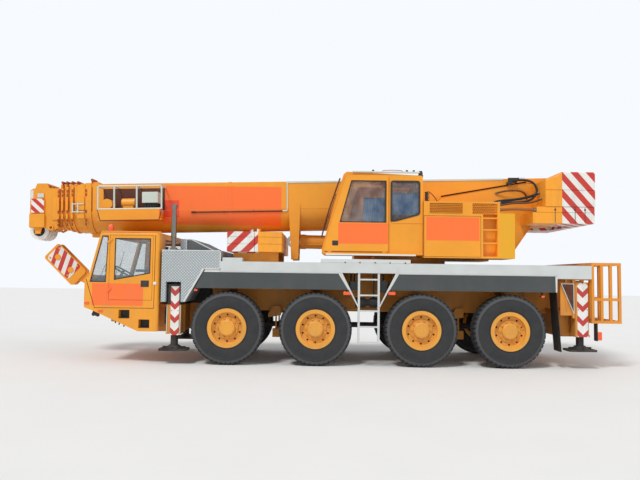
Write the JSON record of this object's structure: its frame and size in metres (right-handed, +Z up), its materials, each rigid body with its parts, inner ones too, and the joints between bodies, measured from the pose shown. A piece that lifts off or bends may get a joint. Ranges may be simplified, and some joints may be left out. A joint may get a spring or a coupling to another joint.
{
  "type": "mobile crane",
  "caption": "Telescopic mobile crane on an all-terrain carrier, with slewing boom, luffing cylinder, steered axles and sliding outriggers.",
  "frame": {"origin": "on the ground, half way along the whole crane and in its middle plane", "axes": "-X to the front of the carrier, -Y to the carrier's left side, where the crane cab is, +Z up"},
  "size_m": [11.5896, 2.66, 3.723],
  "materials": {
    "orange_paint": "satin orange-yellow paint, light dust and edge wear",
    "striped_paint": "red and white warning stripes over orange paint",
    "grey_paint": "satin grey paint, faint scuffs",
    "dark_steel": "matt dark chassis paint with road dirt",
    "chequer_aluminium": "chequered plate, brushed and lightly dulled",
    "exhaust_steel": "brushed, slightly sooted",
    "grey_plastic": "matt moulded grey",
    "dark_plastic": "matt moulded black",
    "chromed_rod": "ground and chromed",
    "tyre_rubber": "matt rubber, dusty tread"
  },
  "bodies": {
    "chassis": {"chassis_frame": "orange_paint", "axles": "dark_steel", "deck_plates": "chequer_aluminium", "engine_bay": "orange_paint", "carrier_engine": "dark_steel", "exhaust_stack": "exhaust_steel", "mudguards": "grey_plastic", "carrier_cab": "orange_paint", "carrier_cab_interior": "dark_plastic", "hook_block": "striped_paint", "rear_rack": "orange_paint", "deck_counterweight": "striped_paint"},
    "carrier_door_left": {"carrier_door_left": "orange_paint"},
    "carrier_door_right": {"carrier_door_right": "orange_paint"},
    "knuckle_1_left": {"knuckle_1_left": "dark_steel"},
    "wheel_1_left": {"tyre_1_left": "tyre_rubber", "rim_1_left": "orange_paint"},
    "knuckle_1_right": {"knuckle_1_right": "dark_steel"},
    "wheel_1_right": {"tyre_1_right": "tyre_rubber", "rim_1_right": "orange_paint"},
    "knuckle_2_left": {"knuckle_2_left": "dark_steel"},
    "wheel_2_left": {"tyre_2_left": "tyre_rubber", "rim_2_left": "orange_paint"},
    "knuckle_2_right": {"knuckle_2_right": "dark_steel"},
    "wheel_2_right": {"tyre_2_right": "tyre_rubber", "rim_2_right": "orange_paint"},
    "knuckle_3_left": {"knuckle_3_left": "dark_steel"},
    "wheel_3_left": {"tyre_3_left": "tyre_rubber", "rim_3_left": "orange_paint"},
    "knuckle_3_right": {"knuckle_3_right": "dark_steel"},
    "wheel_3_right": {"tyre_3_right": "tyre_rubber", "rim_3_right": "orange_paint"},
    "knuckle_4_left": {"knuckle_4_left": "dark_steel"},
    "wheel_4_left": {"tyre_4_left": "tyre_rubber", "rim_4_left": "orange_paint"},
    "knuckle_4_right": {"knuckle_4_right": "dark_steel"},
    "wheel_4_right": {"tyre_4_right": "tyre_rubber", "rim_4_right": "orange_paint"},
    "outrigger_front_left": {"outrigger_front_left": "orange_paint"},
    "jack_front_left": {"jack_front_left": "dark_steel"},
    "outrigger_front_right": {"outrigger_front_right": "orange_paint"},
    "jack_front_right": {"jack_front_right": "dark_steel"},
    "outrigger_rear_left": {"outrigger_rear_left": "orange_paint"},
    "jack_rear_left": {"jack_rear_left": "dark_steel"},
    "outrigger_rear_right": {"outrigger_rear_right": "orange_paint"},
    "jack_rear_right": {"jack_rear_right": "dark_steel"},
    "turntable": {"turntable_frame": "orange_paint", "winch": "dark_steel", "crane_cab": "orange_paint", "crane_cab_interior": "dark_plastic", "machine_housing": "orange_paint", "counterweight": "striped_paint"},
    "crane_cab_door": {"crane_cab_door": "orange_paint"},
    "boom_base": {"boom_base": "orange_paint"},
    "boom_section_1": {"boom_section_1": "grey_paint"},
    "boom_section_2": {"boom_section_2": "grey_paint"},
    "boom_section_3": {"boom_section_3": "grey_paint"},
    "boom_section_4": {"boom_section_4": "orange_paint"},
    "luffing_barrel": {"luffing_barrel": "grey_paint"},
    "luffing_rod": {"luffing_rod": "chromed_rod"}
  },
  "joints": [
    {"name": "carrier_door_left_hinge", "type": "hinge", "parent": "chassis", "child": "carrier_door_left", "pos_m": [-3.777, -1.318, 1.79], "axis": [0, 0, -1], "range_deg": [0, 75]},
    {"name": "carrier_door_right_hinge", "type": "hinge", "parent": "chassis", "child": "carrier_door_right", "pos_m": [-3.777, 1.318, 1.79], "axis": [0, 0, 1], "range_deg": [0, 75]},
    {"name": "steer_1_left", "type": "hinge", "parent": "chassis", "child": "knuckle_1_left", "pos_m": [-1.555, -0.9, 0.685], "axis": [0, 0, 1], "range_deg": [-25, 25]},
    {"name": "roll_1_left", "type": "hinge", "parent": "knuckle_1_left", "child": "wheel_1_left", "pos_m": [-1.555, -1.1425, 0.685], "axis": [0, 1, 0], "continuous": true},
    {"name": "steer_1_right", "type": "hinge", "parent": "chassis", "child": "knuckle_1_right", "pos_m": [-1.555, 0.9, 0.685], "axis": [0, 0, 1], "range_deg": [-25, 25]},
    {"name": "roll_1_right", "type": "hinge", "parent": "knuckle_1_right", "child": "wheel_1_right", "pos_m": [-1.555, 1.1425, 0.685], "axis": [0, 1, 0], "continuous": true},
    {"name": "steer_2_left", "type": "hinge", "parent": "chassis", "child": "knuckle_2_left", "pos_m": [0.095, -0.9, 0.685], "axis": [0, 0, 1], "range_deg": [-20, 20]},
    {"name": "roll_2_left", "type": "hinge", "parent": "knuckle_2_left", "child": "wheel_2_left", "pos_m": [0.095, -1.1425, 0.685], "axis": [0, 1, 0], "continuous": true},
    {"name": "steer_2_right", "type": "hinge", "parent": "chassis", "child": "knuckle_2_right", "pos_m": [0.095, 0.9, 0.685], "axis": [0, 0, 1], "range_deg": [-20, 20]},
    {"name": "roll_2_right", "type": "hinge", "parent": "knuckle_2_right", "child": "wheel_2_right", "pos_m": [0.095, 1.1425, 0.685], "axis": [0, 1, 0], "continuous": true},
    {"name": "steer_3_left", "type": "hinge", "parent": "chassis", "child": "knuckle_3_left", "pos_m": [2.075, -0.9, 0.685], "axis": [0, 0, 1], "range_deg": [-15, 15]},
    {"name": "roll_3_left", "type": "hinge", "parent": "knuckle_3_left", "child": "wheel_3_left", "pos_m": [2.075, -1.1425, 0.685], "axis": [0, 1, 0], "continuous": true},
    {"name": "steer_3_right", "type": "hinge", "parent": "chassis", "child": "knuckle_3_right", "pos_m": [2.075, 0.9, 0.685], "axis": [0, 0, 1], "range_deg": [-15, 15]},
    {"name": "roll_3_right", "type": "hinge", "parent": "knuckle_3_right", "child": "wheel_3_right", "pos_m": [2.075, 1.1425, 0.685], "axis": [0, 1, 0], "continuous": true},
    {"name": "steer_4_left", "type": "hinge", "parent": "chassis", "child": "knuckle_4_left", "pos_m": [3.725, -0.9, 0.685], "axis": [0, 0, 1], "range_deg": [-20, 20]},
    {"name": "roll_4_left", "type": "hinge", "parent": "knuckle_4_left", "child": "wheel_4_left", "pos_m": [3.725, -1.1425, 0.685], "axis": [0, 1, 0], "continuous": true},
    {"name": "steer_4_right", "type": "hinge", "parent": "chassis", "child": "knuckle_4_right", "pos_m": [3.725, 0.9, 0.685], "axis": [0, 0, 1], "range_deg": [-20, 20]},
    {"name": "roll_4_right", "type": "hinge", "parent": "knuckle_4_right", "child": "wheel_4_right", "pos_m": [3.725, 1.1425, 0.685], "axis": [0, 1, 0], "continuous": true},
    {"name": "outrigger_front_left_slide", "type": "slide", "parent": "chassis", "child": "outrigger_front_left", "axis": [0, -1, 0], "range_m": [0, 1.5]},
    {"name": "jack_front_left_slide", "type": "slide", "parent": "outrigger_front_left", "child": "jack_front_left", "axis": [0, 0, -1], "range_m": [0, 0.55]},
    {"name": "outrigger_front_right_slide", "type": "slide", "parent": "chassis", "child": "outrigger_front_right", "axis": [0, 1, 0], "range_m": [0, 1.5]},
    {"name": "jack_front_right_slide", "type": "slide", "parent": "outrigger_front_right", "child": "jack_front_right", "axis": [0, 0, -1], "range_m": [0, 0.55]},
    {"name": "outrigger_rear_left_slide", "type": "slide", "parent": "chassis", "child": "outrigger_rear_left", "axis": [0, -1, 0], "range_m": [0, 1.5]},
    {"name": "jack_rear_left_slide", "type": "slide", "parent": "outrigger_rear_left", "child": "jack_rear_left", "axis": [0, 0, -1], "range_m": [0, 0.55]},
    {"name": "outrigger_rear_right_slide", "type": "slide", "parent": "chassis", "child": "outrigger_rear_right", "axis": [0, 1, 0], "range_m": [0, 1.5]},
    {"name": "jack_rear_right_slide", "type": "slide", "parent": "outrigger_rear_right", "child": "jack_rear_right", "axis": [0, 0, -1], "range_m": [0, 0.55]},
    {"name": "slew", "type": "hinge", "parent": "chassis", "child": "turntable", "pos_m": [2.01, 0, 2.02], "axis": [0, 0, 1], "continuous": true},
    {"name": "luff", "type": "hinge", "parent": "turntable", "child": "boom_base", "pos_m": [4.51, 0, 3.25], "axis": [0, 1, 0], "range_deg": [0, 82]},
    {"name": "cylinder_pivot", "type": "hinge", "parent": "turntable", "child": "luffing_barrel", "pos_m": [2.6, 0, 2.35], "axis": [0, 1, 0], "range_deg": [0, 95]},
    {"name": "cylinder_stroke", "type": "slide", "parent": "luffing_barrel", "child": "luffing_rod", "axis": [-0.9999, 0, 0.0133], "range_m": [0, 2.675]},
    {"name": "telescope_1", "type": "slide", "parent": "boom_base", "child": "boom_section_1", "axis": [-0.9997, 0, -0.0262], "range_m": [0, 7.4]},
    {"name": "telescope_2", "type": "slide", "parent": "boom_section_1", "child": "boom_section_2", "axis": [-0.9997, 0, -0.0262], "range_m": [0, 7.4]},
    {"name": "telescope_3", "type": "slide", "parent": "boom_section_2", "child": "boom_section_3", "axis": [-0.9997, 0, -0.0262], "range_m": [0, 7.4]},
    {"name": "telescope_4", "type": "slide", "parent": "boom_section_3", "child": "boom_section_4", "axis": [-0.9997, 0, -0.0262], "range_m": [0, 7.4]},
    {"name": "crane_cab_door_slide", "type": "slide", "parent": "turntable", "child": "crane_cab_door", "axis": [1, 0, 0], "range_m": [0, 0.6]}
  ],
  "couplings": [
    {"joint": "steer_1_right", "follows": "steer_1_left", "ratio": 1},
    {"joint": "steer_2_left", "follows": "steer_1_left", "ratio": 0.8},
    {"joint": "steer_2_right", "follows": "steer_1_left", "ratio": 0.8},
    {"joint": "steer_4_right", "follows": "steer_4_left", "ratio": 1},
    {"joint": "steer_3_left", "follows": "steer_4_left", "ratio": 0.75},
    {"joint": "steer_3_right", "follows": "steer_4_left", "ratio": 0.75},
    {"joint": "cylinder_pivot", "follows": "luff", "ratio": 1.1346},
    {"joint": "cylinder_stroke", "follows": "luff", "m_per_rad": 1.8549},
    {"joint": "telescope_2", "follows": "telescope_1", "ratio": 1},
    {"joint": "telescope_3", "follows": "telescope_1", "ratio": 1},
    {"joint": "telescope_4", "follows": "telescope_1", "ratio": 1}
  ]
}
